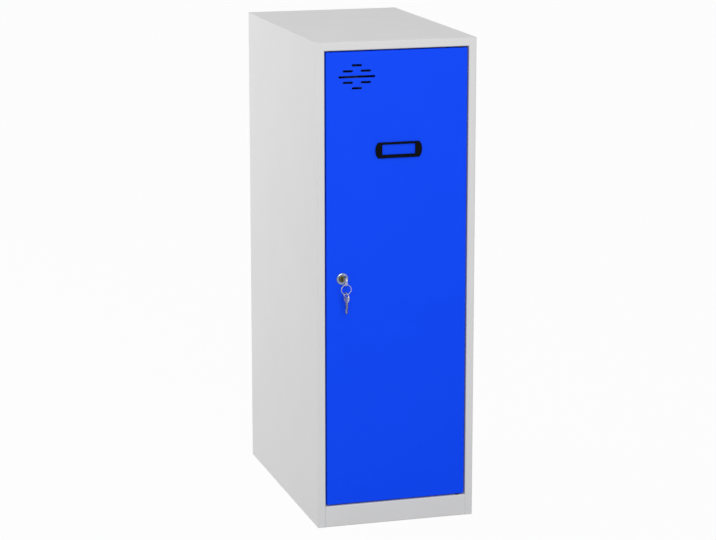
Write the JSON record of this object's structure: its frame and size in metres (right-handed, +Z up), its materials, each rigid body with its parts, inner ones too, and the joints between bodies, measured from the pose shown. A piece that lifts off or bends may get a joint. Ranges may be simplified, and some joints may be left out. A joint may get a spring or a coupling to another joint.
{
  "type": "metal locker",
  "caption": "Narrow sheet steel locker with a flush inset door on concealed pivots, vent slots, a label frame, a cam lock with keys, and a shelf and coat rail inside.",
  "frame": {"origin": "on the floor, in the middle of the footprint of the body and the key that stands out of the lock", "axes": "+Z up, -Y out of the door, +X towards the hinge side"},
  "size_m": [0.3, 0.5368, 0.9],
  "materials": {
    "grey_paint": "light grey powder coat, satin",
    "blue_paint": "bright blue powder coat, satin",
    "chrome": "polished chrome plate",
    "brass": "turned brass",
    "nickel": "nickel plate, lightly worn",
    "zinc": "bright zinc plate",
    "black_plastic": "moulded, satin",
    "nylon": "moulded, black",
    "rubber": "moulded, matte"
  },
  "bodies": {
    "body": {"left_side_panel": "grey_paint", "right_side_panel": "grey_paint", "back_panel": "grey_paint", "top_panel": "grey_paint", "floor_panel": "grey_paint", "plinth": "grey_paint", "shelf": "grey_paint", "shelf_support_left": "grey_paint", "shelf_support_right": "grey_paint", "coat_rail": "zinc", "rail_socket_left": "zinc", "rail_socket_right": "zinc", "upper_hinge_bush": "nylon", "lower_hinge_bush": "nylon", "door_buffer_upper": "rubber", "door_buffer_lower": "rubber"},
    "door": {"door_panel": "blue_paint", "door_stiffener": "blue_paint", "upper_hinge_bracket": "zinc", "lower_hinge_bracket": "zinc", "upper_hinge_pin": "zinc", "lower_hinge_pin": "zinc", "label_frame": "black_plastic", "lock_housing": "chrome", "lock_washer": "zinc", "lock_nut": "zinc"},
    "lock_core": {"lock_plug": "brass", "lock_cam": "zinc", "cam_screw": "zinc"},
    "key_in_lock": {"key": "nickel"},
    "ring": {"key_ring": "nickel"},
    "spare": {"spare_key": "nickel"},
    "hook_left": {"coat_hook_left": "zinc"},
    "hook_right": {"coat_hook_right": "zinc"}
  },
  "joints": [
    {"name": "door_hinge", "type": "hinge", "parent": "body", "child": "door", "pos_m": [0.121, -0.22663, 0.45], "axis": [0, 0, 1], "range_deg": [0, 110]},
    {"name": "lock_turn", "type": "hinge", "parent": "door", "child": "lock_core", "pos_m": [-0.1034, -0.23163, 0.4695], "axis": [0, 1, 0], "range_deg": [0, 90]},
    {"name": "key_withdraw", "type": "slide", "parent": "lock_core", "child": "key_in_lock", "axis": [0, -1, 0], "range_m": [0, 0.018]},
    {"name": "ring_swing", "type": "hinge", "parent": "key_in_lock", "child": "ring", "pos_m": [-0.1034, -0.25843, 0.464], "axis": [1, 0, 0], "range_deg": [-60, 8]},
    {"name": "spare_swing", "type": "hinge", "parent": "ring", "child": "spare", "pos_m": [-0.1034, -0.25843, 0.4458], "axis": [1, 0, 0], "range_deg": [-30, 8]},
    {"name": "hook_left_slide", "type": "slide", "parent": "body", "child": "hook_left", "axis": [1, 0, 0], "range_m": [-0.06, 0.05]},
    {"name": "hook_right_slide", "type": "slide", "parent": "body", "child": "hook_right", "axis": [1, 0, 0], "range_m": [-0.05, 0.06]}
  ]
}
